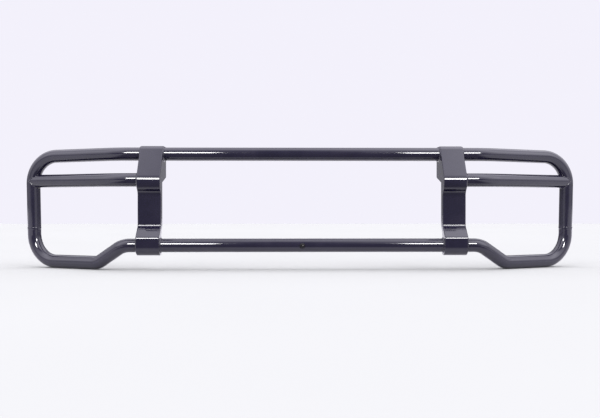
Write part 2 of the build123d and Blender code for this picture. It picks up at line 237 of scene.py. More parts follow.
# Looked at straight, the tent is evenly pale on every side
straight = add_node(tree, "ShaderNodeLightPath").outputs["Is Camera Ray"]
strength = add_node(tree, "ShaderNodeMix", data_type="FLOAT")
feed(tree, strength.inputs[0], straight)
feed(tree, strength.inputs[2], total)
feed(tree, strength.inputs[3], TENT_SEEN)
background = add_node(tree, "ShaderNodeBackground")
background.inputs["Color"].default_value = (*LIGHT_TINT, 1)
feed(tree, background.inputs["Strength"], strength.outputs[0])
world_output = add_node(tree, "ShaderNodeOutputWorld")
tree.links.new(background.outputs[0], world_output.inputs["Surface"])

# The softboxes are flagged off the floor, so it stays evenly lit
flagged_off = bpy.data.collections.new("flagged_off")
flagged_off.objects.link(floor)
for side_name, place, radiance in SOFTBOXES:
    softbox = bpy.data.lights.new(f"softbox_{side_name}", "AREA")
    softbox.shape = "RECTANGLE"
    softbox.size = SOFTBOX_WIDTH
    softbox.size_y = SOFTBOX_HEIGHT
    softbox.energy = radiance * pi * SOFTBOX_WIDTH * SOFTBOX_HEIGHT
    stand = bpy.data.objects.new(f"softbox_{side_name}", softbox)
    stand.location = place
    stand.rotation_euler = (-place).to_track_quat("-Z", "Y").to_euler()
    scene.collection.objects.link(stand)
    stand.light_linking.receiver_collection = flagged_off
flagged_off.collection_objects[0].light_linking.link_state = "EXCLUDE"

# ---------------------------------------------------------------- camera
# A full-frame camera with a standard lens, two metres in front of the guard and level with its
# middle. It is turned a little to the right and is very nearly level.
CAMERA_PLACE = Vector((-0.039, -2.084, -0.1285))
CAMERA_LENS = 43.14
CAMERA_PAN = 0.935
CAMERA_TILT = 0.16

camera_data = bpy.data.cameras.new("camera")
camera_data.lens = CAMERA_LENS
camera_data.sensor_width = 36.0
camera_data.clip_end = 100.0
camera = bpy.data.objects.new("camera", camera_data)
camera.location = CAMERA_PLACE
camera.rotation_euler = (radians(90 - CAMERA_TILT), 0, radians(-CAMERA_PAN))
scene.collection.objects.link(camera)
scene.camera = camera

# ---------------------------------------------------------------- gloss black powder coat
# Black polyester powder, cured to a high gloss over blasted steel. It keeps a slight orange peel,
# a long soft wave, a few dust nibs under the skin, and a faint film of handling on the gloss.
COAT_BLACK = (0.0035, 0.0028, 0.0100, 1)
COAT_BLACK_WORN = (0.0060, 0.0050, 0.0130, 1)
COAT_NIB = (0.05, 0.05, 0.052, 1)
COAT_IOR = 1.5
# Scales are in waves or cells per metre and heights in peel depths. A span is the range of a
# noise's values over which its effect grows.
WAVE_SCALE = 28.0
WAVE_HEIGHT = 2.2
FILM_SCALE = 14.0
FILM_SPAN = (0.42, 0.75)
FILM_HAZE = 0.05
WORN_SPAN = (0.35, 0.7)
STREAK_SCALE = 90.0
STREAK_SPAN = (0.5, 0.8)
STREAK_HAZE = 0.025
NIB_CELLS = 95.0
NIB_RARITY = 0.9
NIB_FULL = 0.015
NIB_END = 0.05
NIB_HEIGHT = 0.9
NIB_HAZE = 0.25


def build_coat_group():
    """The coat's surface, for any piece: its colour, its gloss and its small relief."""
    group = bpy.data.node_groups.new("powder_coat", "ShaderNodeTree")
    face = group.interface
    for name in ("Peel Scale", "Peel Depth", "Gloss Roughness"):
        face.new_socket(name, in_out="INPUT", socket_type="NodeSocketFloat")
    face.new_socket("Colour", in_out="OUTPUT", socket_type="NodeSocketColor")
    face.new_socket("Roughness", in_out="OUTPUT", socket_type="NodeSocketFloat")
    face.new_socket("Normal", in_out="OUTPUT", socket_type="NodeSocketVector")
    given = add_node(group, "NodeGroupInput").outputs
    result = add_node(group, "NodeGroupOutput").inputs
    where = object_coordinates(group)

    peel = add_node(group, "ShaderNodeTexNoise")
    feed(group, peel.inputs["Vector"], where)
    feed(group, peel.inputs["Scale"], given["Peel Scale"])
    peel.inputs["Detail"].default_value = 1.0
    wave = noise_value(group, where, WAVE_SCALE, detail=1.0)
    film = noise_value(group, where, FILM_SCALE, detail=5.0, roughness=0.6)
    streak = noise_value(group, where, STREAK_SCALE, detail=3.0)

    # One cell in ten holds a nib, a speck a third of a millimetre across its top
    cells = add_node(group, "ShaderNodeTexVoronoi")
    feed(group, cells.inputs["Vector"], where)
    cells.inputs["Scale"].default_value = NIB_CELLS
    colour = add_node(group, "ShaderNodeSeparateColor")
    feed(group, colour.inputs[0], cells.outputs["Color"])
    chosen = maths(group, "GREATER_THAN", colour.outputs[0], NIB_RARITY)
    near = remap(group, cells.outputs["Distance"], NIB_FULL, NIB_END, 1.0, 0.0)
    nib = maths(group, "MULTIPLY", chosen, near)

    height = maths(group, "MULTIPLY_ADD", wave, WAVE_HEIGHT, peel.outputs["Fac"])
    height = maths(group, "MULTIPLY_ADD", nib, NIB_HEIGHT, height)
    bump = add_node(group, "ShaderNodeBump")
    bump.inputs["Strength"].default_value = 1.0
    feed(group, bump.inputs["Distance"], given["Peel Depth"])
    feed(group, bump.inputs["Height"], height)
    feed(group, result["Normal"], bump.outputs["Normal"])

    haze = remap(group, film, *FILM_SPAN, 0.0, FILM_HAZE)
    haze = maths(group, "ADD", haze, remap(group, streak, *STREAK_SPAN, 0.0, STREAK_HAZE))
    haze = maths(group, "MULTIPLY_ADD", nib, NIB_HAZE, haze)
    feed(group, result["Roughness"], maths(group, "ADD", given["Gloss Roughness"], haze))

    worn = remap(group, film, *WORN_SPAN, 0.0, 1.0)
    shade = blend_colours(group, worn, COAT_BLACK, COAT_BLACK_WORN)
    feed(group, result["Colour"], blend_colours(group, nib, shade, COAT_NIB))
    return group


powder_coat = build_coat_group()


def coat_material(name, peel_scale, peel_depth, gloss_roughness):
    """Powder coat as it flows out on one kind of piece."""
    material = new_material(name)
    tree = material.node_tree
    shader = principled(material)
    shader.inputs["IOR"].default_value = COAT_IOR
    coat = add_node(tree, "ShaderNodeGroup", node_tree=powder_coat)
    coat.inputs["Peel Scale"].default_value = peel_scale
    coat.inputs["Peel Depth"].default_value = peel_depth
    coat.inputs["Gloss Roughness"].default_value = gloss_roughness
    feed(tree, shader.inputs["Base Color"], coat.outputs["Colour"])
    feed(tree, shader.inputs["Roughness"], coat.outputs["Roughness"])
    feed(tree, shader.inputs["Normal"], coat.outputs["Normal"])
    return material


tube_coat = coat_material(
    "tube_coat", peel_scale=230.0, peel_depth=0.000012, gloss_roughness=0.07
)

# ---------------------------------------------------------------- hoop tubes
# The outer hoop is two lengths of 38 mm steel tube, bent cold on a mandrel: an upper one over
# the top and down both ends, and a lower one with a dropped loop under each headlamp.
TUBE_RADIUS = 0.019
TUBE_BORE = 0.017
TUBE_SEGMENTS = 72
BEND_STEP = radians(2.0)
NEAR_THE_CUT = 1.5 * TUBE_RADIUS
SHARP_ANGLE = radians(35)

TOP_BEND_X = 0.523
TOP_BEND_RADIUS = 0.230
DROP_BEND_X = 0.496
DROP_UPPER_RADIUS = 0.055
LOOP_BEND_X = 0.573
DROP_LOWER_RADIUS = 0.045
CORNER_RADIUS = 0.078
END_TOP_X = 0.787
END_FOOT_X = 0.781
TOP_RUN_DIP = 0.004
SPLICE_HALF_GAP = 0.001

upper_low, upper_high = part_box("upper_hoop_tube")
lower_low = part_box("lower_hoop_tube")[0]
screw_low, screw_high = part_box("centre_screw")
splice_low, splice_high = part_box("hoop_splice_weld_right")
top_y = upper_low.y + TUBE_RADIUS
top_z = upper_high.z - TUBE_RADIUS
end_y = upper_high.y - TUBE_RADIUS
end_top_z = top_z - TOP_RUN_DIP
bottom_y = lower_low.y + TUBE_RADIUS
bottom_z = (screw_low.z + screw_high.z) / 2
loop_z = lower_low.z + TUBE_RADIUS
splice_z = (splice_low.z + splice_high.z) / 2


def end_tube_point(z):
    """Centre line of the right end tube, which leans in slightly towards its foot."""
    share = (end_top_z - z) / (end_top_z - loop_z)
    return Vector((END_TOP_X + (END_FOOT_X - END_TOP_X) * share, end_y, z))


def both_ends(right_half):
    """A symmetrical route, from its left end to its right end."""
    left_half = [Vector((-p.x, p.y, p.z)) for p in reversed(right_half)]
    return left_half + right_half


def edges_between(verts):
    """The edges whose two ends are both among these vertices."""
    chosen = set(verts)
    near = dict.fromkeys(e for v in verts for e in v.link_edges)
    return [e for e in near if set(e.verts) <= chosen]


def start_ring(bm, place, heading, radius):
    """A ring of edges square to the heading, to be drawn along a route."""
    turn = heading.to_track_quat("Z", "Y").to_matrix().to_4x4()
    ring = bmesh.ops.create_circle(
        bm, segments=TUBE_SEGMENTS, radius=radius, matrix=Matrix.Translation(place) @ turn
    )
    return edges_between(ring["verts"])


def push(bm, ring, way):
    """Draws a ring of edges straight along."""
    new = bmesh.ops.extrude_edge_only(bm, edges=ring)["geom"]
    verts = [g for g in new if isinstance(g, bmesh.types.BMVert)]
    bmesh.ops.translate(bm, vec=way, verts=verts)
    return edges_between(verts)


def swing(bm, ring, centre, axis, angle, step=BEND_STEP):
    """Draws a ring of edges round a bend."""
    verts = list(dict.fromkeys(v for e in ring for v in e.verts))
    out = bmesh.ops.spin(
        bm, geom=verts + ring, cent=centre, axis=axis, dvec=(0, 0, 0), angle=angle,
        steps=max(2, ceil(abs(angle) / step)), use_merge=False, use_duplicate=False,
    )
    return edges_between([g for g in out["geom_last"] if isinstance(g, bmesh.types.BMVert)])


def draw_route(bm, ring, route, radii):
    """Draws a ring along straight runs joined by bends, and returns the last ring."""
    here = route[0]
    for corner, after, radius in zip(route[1:-1], route[2:], radii):
        heading = (corner - here).normalized()
        way_out = (after - corner).normalized()
        angle = heading.angle(way_out)
        axis = heading.cross(way_out).normalized()
        bend_start = corner - heading * radius * tan(angle / 2)
        centre = bend_start + axis.cross(heading) * radius
        ring = push(bm, ring, bend_start - here)
        ring = swing(bm, ring, centre, axis, angle)
        here = corner + way_out * radius * tan(angle / 2)
    return push(bm, ring, route[-1] - here)


def tube_mesh(route, radii):
    """A tube with its bore, and a flat cut at both ends."""
    bm = bmesh.new()
    heading = (route[1] - route[0]).normalized()
    for radius in (TUBE_RADIUS, TUBE_BORE):
        draw_route(bm, start_ring(bm, route[0], heading, radius), route, radii)
    for place in (route[0], route[-1]):
        open_edges = [e for e in bm.edges if e.is_boundary]
        rim = [e for e in open_edges if (e.verts[0].co - place).length < NEAR_THE_CUT]
        bmesh.ops.bridge_loops(bm, edges=rim)
    return bm


def finish_piece(name, bm, material, node, even_normals=False):
    """Turns a bmesh into a shaded piece that rides on the guard and stands for a CAD node."""
    bmesh.ops.recalc_face_normals(bm, faces=bm.faces)
    for face in bm.faces:
        face.smooth = True
    for edge in bm.edges:
        edge.smooth = edge.calc_face_angle(0) < SHARP_ANGLE
    mesh = bpy.data.meshes.new(name)
    bm.to_mesh(mesh)
    bm.free()
    mesh.materials.append(material)
    piece = bpy.data.objects.new(name, mesh)
    scene.collection.objects.link(piece)
    if even_normals:
        weighted = piece.modifiers.new("even_normals", "WEIGHTED_NORMAL")
        weighted.keep_sharp = True
    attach(piece, "root")
    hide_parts(node)


upper_route = both_ends([
    Vector((TOP_BEND_X, top_y, top_z)),
    end_tube_point(end_top_z),
    end_tube_point(splice_z + SPLICE_HALF_GAP),
])
upper_bends = [CORNER_RADIUS, TOP_BEND_RADIUS, TOP_BEND_RADIUS, CORNER_RADIUS]
finish_piece(
    "upper_hoop", tube_mesh(upper_route, upper_bends), tube_coat,
    "upper_hoop_tube",
)

# Seen from above, the drop and the loop's bottom run go back in one straight line
loop_corner = end_tube_point(loop_z)
loop_share = (LOOP_BEND_X - DROP_BEND_X) / (loop_corner.x - DROP_BEND_X)
lower_route = both_ends([
    Vector((DROP_BEND_X, bottom_y, bottom_z)),
    Vector((LOOP_BEND_X, bottom_y + loop_share * (end_y - bottom_y), loop_z)),
    loop_corner,
    end_tube_point(splice_z - SPLICE_HALF_GAP),
])
half_bends = [CORNER_RADIUS, DROP_LOWER_RADIUS, DROP_UPPER_RADIUS]
finish_piece(
    "lower_hoop", tube_mesh(lower_route, half_bends + half_bends[::-1]), tube_coat,
    "lower_hoop_tube",
)

# ---------------------------------------------------------------- lamp bars
# One shorter length of the same tube on each side, which guards the top of the headlamp. It is
# square at the bracket, bent back once, and coped at its far end to sit on the end tube.
LAMP_BEND_X = 0.517
LAMP_BEND_RADIUS = 0.190
SIDES = (("left", -1), ("right", 1))


def mirrored(bm, side):
    """A piece made for the right side, turned into the left one where side is -1."""
    if side < 0:
        bmesh.ops.scale(bm, vec=(-1, 1, 1), verts=bm.verts)
    return bm


bar_low, bar_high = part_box("lamp_bar_right")
bar_y = bar_low.y + TUBE_RADIUS
bar_z = (bar_low.z + bar_high.z) / 2
bar_root = Vector((bar_low.x, bar_y, bar_z))
bar_bend = Vector((LAMP_BEND_X, bar_y, bar_z))
bar_end = end_tube_point(bar_z)
bar_way = (bar_end - bar_bend).normalized()
end_tube_way = (end_tube_point(end_top_z) - end_tube_point(loop_z)).normalized()


def reach_to_end_tube(place):
    """How far a point goes along the lamp bar before it meets the outside of the end tube."""
    offset = place - bar_end
    across = offset - end_tube_way * offset.dot(end_tube_way)
    along = bar_way - end_tube_way * bar_way.dot(end_tube_way)
    a = along.length_squared
    b = across.dot(along)
    c = across.length_squared - TUBE_RADIUS**2
    return (-b - sqrt(max(0.0, b * b - a * c))) / a


for side_name, side in SIDES:
    bm = bmesh.new()
    stop = bar_end - bar_way * 2 * TUBE_RADIUS
    for radius in (TUBE_RADIUS, TUBE_BORE):
        ring = start_ring(bm, bar_root, Vector((1, 0, 0)), radius)
        ring = draw_route(bm, ring, [bar_root, bar_bend, stop], [LAMP_BEND_RADIUS])
        for vert in {v for e in ring for v in e.verts}:
            vert.co += bar_way * reach_to_end_tube(vert.co)
    for far in (False, True):
        rim = [e for e in bm.edges if e.is_boundary and (e.verts[0].co.x > LAMP_BEND_X) == far]
        bmesh.ops.bridge_loops(bm, edges=rim)
    finish_piece(
        f"lamp_guard_bar_{side_name}", mirrored(bm, side), tube_coat,
        f"lamp_bar_{side_name}",
    )

# ---------------------------------------------------------------- welds
# Every joint is welded with a MIG torch and the bead is left as it froze, in small overlapping
# crescents, then painted over. The coat pools between the ripples and rounds them off.
BEAD_PROFILE_SEGMENTS = 20
RIPPLE_PITCH = 0.0026
RIPPLE_HEIGHT = 0.00022
RIPPLE_STEPS = 5
RIPPLE_BOW = 0.45
RIPPLE_LOSS_AT_EDGE = 0.6
FILLET_LEG = 0.003
FILLET_SINK = 0.002
BEAD_UNDER = 0.0004
BEAD_WANDER = 0.00035
WANDER_SCALE_ALONG = 90
WANDER_SCALE_ASIDE = 3
WANDER_PHASE = 7.0
MERGE_DISTANCE = 0.00001
FULL_TURN = 2 * pi

weld_coat = coat_material(
    "weld_coat", peel_scale=330.0, peel_depth=0.00002, gloss_roughness=0.09
)


def ripple(travel, across):
    """Height of the frozen crescents: the middle of the bead runs ahead of its edges."""
    wave = (travel / RIPPLE_PITCH - RIPPLE_BOW * across * across) % 1
    return RIPPLE_HEIGHT * (1 - wave) ** 2 * (1 - RIPPLE_LOSS_AT_EDGE * abs(across))


def fillet_bead(bm, corner_x, outward, centre, start, sweep):
    """A fillet weld between a flat plate and a tube that runs along X, all or part way round."""
    radius = sqrt((FILLET_LEG + FILLET_SINK) ** 2 + FILLET_SINK**2)
    made = bmesh.ops.create_circle(bm, segments=BEAD_PROFILE_SEGMENTS, radius=radius)["verts"]
    for vert in made:
        off_plate = max(vert.co.x - FILLET_SINK, -BEAD_UNDER)
        off_tube = max(vert.co.y - FILLET_SINK, -BEAD_UNDER)
        vert.co = (corner_x + outward * off_plate, centre.y, centre.z + TUBE_RADIUS + off_tube)
    bmesh.ops.remove_doubles(bm, verts=made, dist=MERGE_DISTANCE)
    first = [v for v in made if v.is_valid]
    bmesh.ops.rotate(bm, verts=first, cent=centre, matrix=Matrix.Rotation(start, 3, "X"))
    whole = sweep >= FULL_TURN
    steps = ceil(sweep * TUBE_RADIUS / RIPPLE_PITCH * RIPPLE_STEPS)
    out = bmesh.ops.spin(
        bm, geom=first + edges_between(first), cent=centre, axis=(1, 0, 0), dvec=(0, 0, 0),
        angle=sweep, steps=steps, use_merge=whole, use_duplicate=False,
    )
    if not whole:
        last = [g for g in out["geom_last"] if isinstance(g, bmesh.types.BMVert)]
        for end in (first, last):
            bmesh.ops.contextual_create(bm, geom=edges_between(end))


def freeze_ripples(bm, centre):
    """Lifts the bead's free surface into crescents, with a slight wander in its width."""
    for vert in bm.verts:
        around = Vector((0, vert.co.y - centre.y, vert.co.z - centre.z))
        off_tube = around.length - TUBE_RADIUS
        if off_tube < 0:
            continue
        near_plate = min(abs(vert.co.x - corner_x) for corner_x, _ in both_faces)
        travel = atan2(around.z, around.y) * TUBE_RADIUS
        across = (off_tube - near_plate) / FILLET_LEG
        lift = ripple(travel, max(-1.0, min(1.0, across)))
        spot = Vector((travel * WANDER_SCALE_ALONG, vert.co.x * WANDER_SCALE_ASIDE, WANDER_PHASE))
        wander = BEAD_WANDER * noise.noise(spot)
        aside = (vert.co.x > plate_high.x) - (vert.co.x < plate_low.x)
        way = around.normalized() + Vector((aside, 0, 0))
        vert.co += way.normalized() * (lift + wander)


plate_low, plate_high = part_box("face_plate_right")
outer_face = ((plate_high.x, 1),)
both_faces = ((plate_low.x, -1), *outer_face)
top_centre = Vector((0, top_y, top_z))
bottom_centre = Vector((0, bottom_y, bottom_z))
bar_centre = Vector((0, bar_y, bar_z))
# The bottom welds run round the front, from just behind the tube's top to just behind its foot
foot_back_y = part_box("bottom_tube_welds_right")[1].y
foot_lead = asin((foot_back_y - bottom_y) / (TUBE_RADIUS + FILLET_LEG / 2))

for side_name, side in SIDES:
    for name, centre, faces, start, sweep in (
        ("top_tube_welds", top_centre, both_faces, 0, FULL_TURN),
        ("bottom_tube_welds", bottom_centre, both_faces, -foot_lead, pi + 2 * foot_lead),
        ("lamp_bar_root_weld", bar_centre, outer_face, 0, FULL_TURN),
    ):
        bm = bmesh.new()
        for corner_x, outward in faces:
            fillet_bead(bm, corner_x, outward, centre, start, sweep)
        freeze_ripples(bm, centre)
        finish_piece(
            f"painted_{name}_{side_name}", mirrored(bm, side), weld_coat,
            f"{name}_{side_name}",
        )

# ---------------------------------------------------------------- lamp bar end welds
# The lamp bar and the end tube are the same size, so the bead between them runs in two half
# ellipses. It stands full in the throats above and below, and low at the sides, where the tubes
# run flush.
ROPE_RADIUS = 0.0034
ROPE_SINK_AT_SIDES = 0.0022
ROPE_SINK_AT_THROAT = 0.0009
ROPE_STEPS = 240

side_way = bar_way.cross(Vector((0, 0, 1))).normalized()
up_way = side_way.cross(bar_way)

for side_name, side in SIDES:
    bm = bmesh.new()
    circle = bmesh.ops.create_circle(bm, segments=BEAD_PROFILE_SEGMENTS, radius=ROPE_RADIUS)
    section = circle["verts"]
    for vert in section:
        along, out = vert.co.x, vert.co.y
        vert.co = bar_end + bar_way * along + up_way * (TUBE_RADIUS + out)
    bmesh.ops.spin(
        bm, geom=section + edges_between(section), cent=bar_end, axis=bar_way, dvec=(0, 0, 0),
        angle=FULL_TURN, steps=ROPE_STEPS, use_merge=True, use_duplicate=False,
    )
    for vert in bm.verts:
        offset = vert.co - bar_end
        radial = (offset - bar_way * offset.dot(bar_way)).normalized()
        sideways = abs(radial.dot(side_way))
        seat = bar_end + radial * TUBE_RADIUS - bar_way * 2 * TUBE_RADIUS
        seam = seat + bar_way * reach_to_end_tube(seat)
        slip = (seam - bar_end).dot(bar_way)
        sink = ROPE_SINK_AT_THROAT + (ROPE_SINK_AT_SIDES - ROPE_SINK_AT_THROAT) * sideways**2
        throat = sqrt(max(0.0, 1 - sideways**2))
        travel = atan2(radial.dot(up_way), radial.dot(side_way)) * TUBE_RADIUS
        across = offset.dot(bar_way) / ROPE_RADIUS
        vert.co += bar_way * (slip + sink * throat) + radial * (ripple(travel, across) - sink)
    finish_piece(
        f"painted_lamp_bar_end_weld_{side_name}", mirrored(bm, side), weld_coat,
        f"lamp_bar_end_weld_{side_name}",
    )

# ---------------------------------------------------------------- hoop joints
# The two hoop tubes are butted in each end tube over a backing ring and welded all round. The
# weld is ground nearly flush, so it shows only as a low smooth band under the paint.
CROWN_HALF_WIDTH = 0.0035
CROWN_HEIGHT = 0.0004
CROWN_ROOT = 0.0012
JOINT_STEPS = 120

joint = end_tube_point(splice_z)
band_out = (Vector((1, 0, 0)) - end_tube_way * end_tube_way.x).normalized()

for side_name, side in SIDES:
    bm = bmesh.new()
    section = bmesh.ops.create_circle(bm, segments=BEAD_PROFILE_SEGMENTS, radius=1.0)["verts"]
    for vert in section:
        along = vert.co.x * CROWN_HALF_WIDTH
        out = vert.co.y * (CROWN_HEIGHT if vert.co.y > 0 else CROWN_ROOT)
        vert.co = joint + end_tube_way * along + band_out * (TUBE_RADIUS + out)
    bmesh.ops.spin(
        bm, geom=section + edges_between(section), cent=joint, axis=end_tube_way, dvec=(0, 0, 0),
        angle=FULL_TURN, steps=JOINT_STEPS, use_merge=True, use_duplicate=False,
    )
    finish_piece(
        f"painted_hoop_joint_{side_name}", mirrored(bm, side), weld_coat,
        f"hoop_splice_weld_{side_name}",
    )

# ---------------------------------------------------------------- bracket face plates
# A 65 mm strip of 4 mm plate, folded over the top tube, down over the lamp bar's root, back into
# a flat recess and out round the bottom tube. Its two long outside edges are ground to a radius.
PLATE_THICKNESS = 0.004
PLATE_EDGE_RADIUS = 0.0025
PLATE_EDGE_SEGMENTS = 6
TOP_WRAP_RADIUS = 0.0232
NOSE_RADIUS = 0.033
NOSE_BEHIND_BAR = 0.0088
NOSE_BELOW_BAR = 0.0038
RECESS_DEPTH = 0.0192
HOLLOW_RADIUS = 0.0225
CREASE_ABOVE_TUBE = 0.0546
CREASE_RADIUS = 0.008
FOOT_SLOPE = radians(45)
FOOT_RADIUS = 0.012
FOOT_WRAP = radians(110)
PLATE_BEND_STEP = radians(2.5)

plate_coat = coat_material(
    "plate_coat", peel_scale=210.0, peel_depth=0.000012, gloss_roughness=0.06
)

plate_back_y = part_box("mounting_plate_right")[0].y
nose_y = bar_y + NOSE_BEHIND_BAR
nose_z = bar_z - NOSE_BELOW_BAR
nose_distance = sqrt((top_y - nose_y) ** 2 + (top_z - nose_z) ** 2)
wider = NOSE_RADIUS - TOP_WRAP_RADIUS
slope_angle = atan2(top_z - nose_z, top_y - nose_y) - asin(wider / nose_distance)
recess_y = nose_y - NOSE_RADIUS + RECESS_DEPTH
hollow_y = recess_y - HOLLOW_RADIUS
hollow_z = nose_z - sqrt((NOSE_RADIUS + HOLLOW_RADIUS) ** 2 - (nose_y - hollow_y) ** 2)
hollow_turn = atan2(nose_z - hollow_z, nose_y - hollow_y)
crease_z = bottom_z + CREASE_ABOVE_TUBE
foot_wrap_radius = bottom_y - plate_low.y
foot_slope_run = (recess_y - plate_low.y) / sin(FOOT_SLOPE)
slope_foot_z = crease_z - foot_slope_run * cos(FOOT_SLOPE)
crease_trim = CREASE_RADIUS * tan(FOOT_SLOPE / 2)
foot_trim = FOOT_RADIUS * tan(FOOT_SLOPE / 2)

# Moves of the plate's outside: a straight length, then a turn (down is positive) on a radius
FACE_MOVES = (
    (plate_back_y - top_y, slope_angle, TOP_WRAP_RADIUS),
    (sqrt(nose_distance**2 - wider**2), pi / 2 + hollow_turn - slope_angle, NOSE_RADIUS),
    (0.0, -hollow_turn, HOLLOW_RADIUS),
    (hollow_z - crease_z - crease_trim, -FOOT_SLOPE, CREASE_RADIUS),
    (foot_slope_run - crease_trim - foot_trim, FOOT_SLOPE, FOOT_RADIUS),
    (slope_foot_z - foot_trim - bottom_z, FOOT_WRAP, foot_wrap_radius),
)


def follows_outside(edge, outside):
    """True for an edge of the plate's outside that runs along the strip."""
    a, b = edge.verts
    lengthwise = abs(a.co.x - b.co.x) < PLATE_THICKNESS
    return a[outside] and b[outside] and lengthwise and len(edge.link_faces) == 2


for side_name, side in SIDES:
    bm = bmesh.new()
    outside = bm.verts.layers.int.new("outside")
    start = Vector(((plate_low.x + plate_high.x) / 2, plate_back_y, plate_high.z))
    flat = bmesh.ops.create_grid(bm, x_segments=1, y_segments=1, size=0.5)["verts"]
    bmesh.ops.scale(bm, vec=(plate_high.x - plate_low.x, PLATE_THICKNESS, 1), verts=flat)
    bmesh.ops.rotate(bm, verts=flat, cent=(0, 0, 0), matrix=Matrix.Rotation(radians(90), 3, "X"))
    bmesh.ops.translate(bm, vec=start - Vector((0, 0, PLATE_THICKNESS / 2)), verts=flat)
    bmesh.ops.delete(bm, geom=list(bm.faces), context="FACES_ONLY")
    ring = list(bm.edges)
    for vert in flat:
        vert[outside] = 1 if vert.co.z > start.z - PLATE_THICKNESS / 2 else 0
    here, heading = start, Vector((0, -1, 0))
    for length, turn, radius in FACE_MOVES:
        if length:
            ring = push(bm, ring, heading * length)
            here = here + heading * length
        inwards = Vector((0, heading.z, -heading.y)) * (-1 if turn > 0 else 1)
        centre = here + inwards * radius
        spin_by = Matrix.Rotation(turn, 3, "X")
        ring = swing(bm, ring, centre, Vector((1, 0, 0)), turn, PLATE_BEND_STEP)
        here = centre + spin_by @ (here - centre)
        heading = spin_by @ heading
    bmesh.ops.holes_fill(bm, edges=[e for e in bm.edges if e.is_boundary], sides=4)
    bmesh.ops.recalc_face_normals(bm, faces=bm.faces)
    front_edges = [e for e in bm.edges if follows_outside(e, outside)]
    bmesh.ops.bevel(
        bm, geom=front_edges, offset=PLATE_EDGE_RADIUS, offset_type="OFFSET", affect="EDGES",
        segments=PLATE_EDGE_SEGMENTS, profile=0.5, material=-1, clamp_overlap=True,
    )
    finish_piece(
        f"folded_face_plate_{side_name}", mirrored(bm, side), plate_coat,
        f"face_plate_{side_name}", even_normals=True,
    )

# ---------------------------------------------------------------- bracket side plates
# The two walls of each bracket are cut from 3 mm sheet with a laser, with a saddle for each tube
# that goes through them. The cut edges are broken with a file before the walls are welded to the
# face plate and coated.
CUT_EDGE_BREAK = 0.0006
CUT_EDGE_SEGMENTS = 3
FLAT_ENOUGH = radians(1)


def softened_copy(node, edge_break):
    """A merged copy of a CAD node with its sharp edges broken."""
    bm = bmesh.new()
    bm.from_mesh(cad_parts[node].data)
    bmesh.ops.remove_doubles(bm, verts=bm.verts, dist=MERGE_DISTANCE)
    bmesh.ops.dissolve_limit(bm, angle_limit=FLAT_ENOUGH, verts=bm.verts, edges=bm.edges)
    sharp = [e for e in bm.edges if len(e.link_faces) == 2 and e.calc_face_angle(0) > SHARP_ANGLE]
    bmesh.ops.bevel(
        bm, geom=sharp, offset=edge_break, offset_type="OFFSET", affect="EDGES",
        segments=CUT_EDGE_SEGMENTS, profile=0.5, material=-1, clamp_overlap=True,
    )
    return bm


side_plate_coat = coat_material(
    "side_plate_coat", peel_scale=260.0, peel_depth=0.00003, gloss_roughness=0.14
)

for side_name in ("left", "right"):
    for place in ("inner", "outer"):
        node = f"{place}_side_plate_{side_name}"
        finish_piece(
            f"cut_{node}", softened_copy(node, CUT_EDGE_BREAK), side_plate_coat,
            node, even_normals=True,
        )

# ---------------------------------------------------------------- mounting plates
# The back wall of each bracket is 5 mm plate with two drilled holes for M10 bolts. Its edges are
# broken with a file before it is welded in and coated.
MOUNT_EDGE_BREAK = 0.0008

for side_name in ("left", "right"):
    node = f"mounting_plate_{side_name}"
    finish_piece(
        f"drilled_{node}", softened_copy(node, MOUNT_EDGE_BREAK), plate_coat,
        node, even_normals=True,
    )

# ---------------------------------------------------------------- threaded insert
# A flanged steel sleeve is pressed into the middle of the bottom run before painting. The coat
# lies thin and dull on its flange, where the screw's head has rubbed it.
INSERT_EDGE_BREAK = 0.0003
INSERT_SHEEN = 0.15

insert_coat = coat_material(
    "insert_coat", peel_scale=420.0, peel_depth=0.00002, gloss_roughness=0.45
)
insert_shader = insert_coat.node_tree.nodes["Principled BSDF"]
insert_shader.inputs["Specular IOR Level"].default_value = INSERT_SHEEN
finish_piece(
    "painted_threaded_insert", softened_copy("centre_insert", INSERT_EDGE_BREAK), insert_coat,
    "centre_insert", even_normals=True,
)

# ---------------------------------------------------------------- centre screw
# A button-head M8 screw with a hexagon socket, blackened in hot oxide and oiled. The forged head
# has faint rings from the die. A bright patch off the socket's centre, steel polished by the key,
# is also a painted highlight.
SCREW_EDGE_BREAK = 0.00025
OXIDE_DARK = (0.004, 0.004, 0.005, 1)
OXIDE_BROWN = (0.010, 0.009, 0.008, 1)
OXIDE_SHEEN = 0.12
OXIDE_ROUGHNESS = (0.32, 0.46)
BROWN_SPAN = (0.4, 0.7)
POLISH_AND_PAINTED_HIGHLIGHT = (0.42, 0.41, 0.40, 1)
PAINTED_HIGHLIGHT_OFF_CENTRE = Vector((0.0012, 0, 0.0008))
PAINTED_HIGHLIGHT_FULL_RADIUS = 0.0010
PAINTED_HIGHLIGHT_END_RADIUS = 0.0019
POLISH_AND_HIGHLIGHT_SPAN = (0.35, 0.6)
POLISH_AND_HIGHLIGHT_SHARE = (0.2, 0.9)
MOTTLE_SCALE = 700.0
RING_PITCH = 0.0006
RING_STRENGTH = 0.6
RING_DEPTH = 0.00002

black_oxide = new_material("black_oxide")
tree = black_oxide.node_tree
shader = principled(black_oxide)
shader.inputs["Specular IOR Level"].default_value = OXIDE_SHEEN
where = object_coordinates(tree)
from_screw = add_node(tree, "ShaderNodeVectorMath", operation="SUBTRACT")
feed(tree, from_screw.inputs[0], where)
from_screw.inputs[1].default_value = (0, 0, bottom_z)
flat_place = add_node(tree, "ShaderNodeVectorMath", operation="MULTIPLY")
feed(tree, flat_place.inputs[0], from_screw.outputs[0])
flat_place.inputs[1].default_value = (1, 0, 1)
from_axis = add_node(tree, "ShaderNodeVectorMath", operation="LENGTH")
feed(tree, from_axis.inputs[0], flat_place.outputs[0])
ring_phase = maths(tree, "MULTIPLY", from_axis.outputs["Value"], FULL_TURN / RING_PITCH)
rings = maths(tree, "SINE", ring_phase)
mottle = noise_value(tree, where, MOTTLE_SCALE, detail=4.0, roughness=0.6)
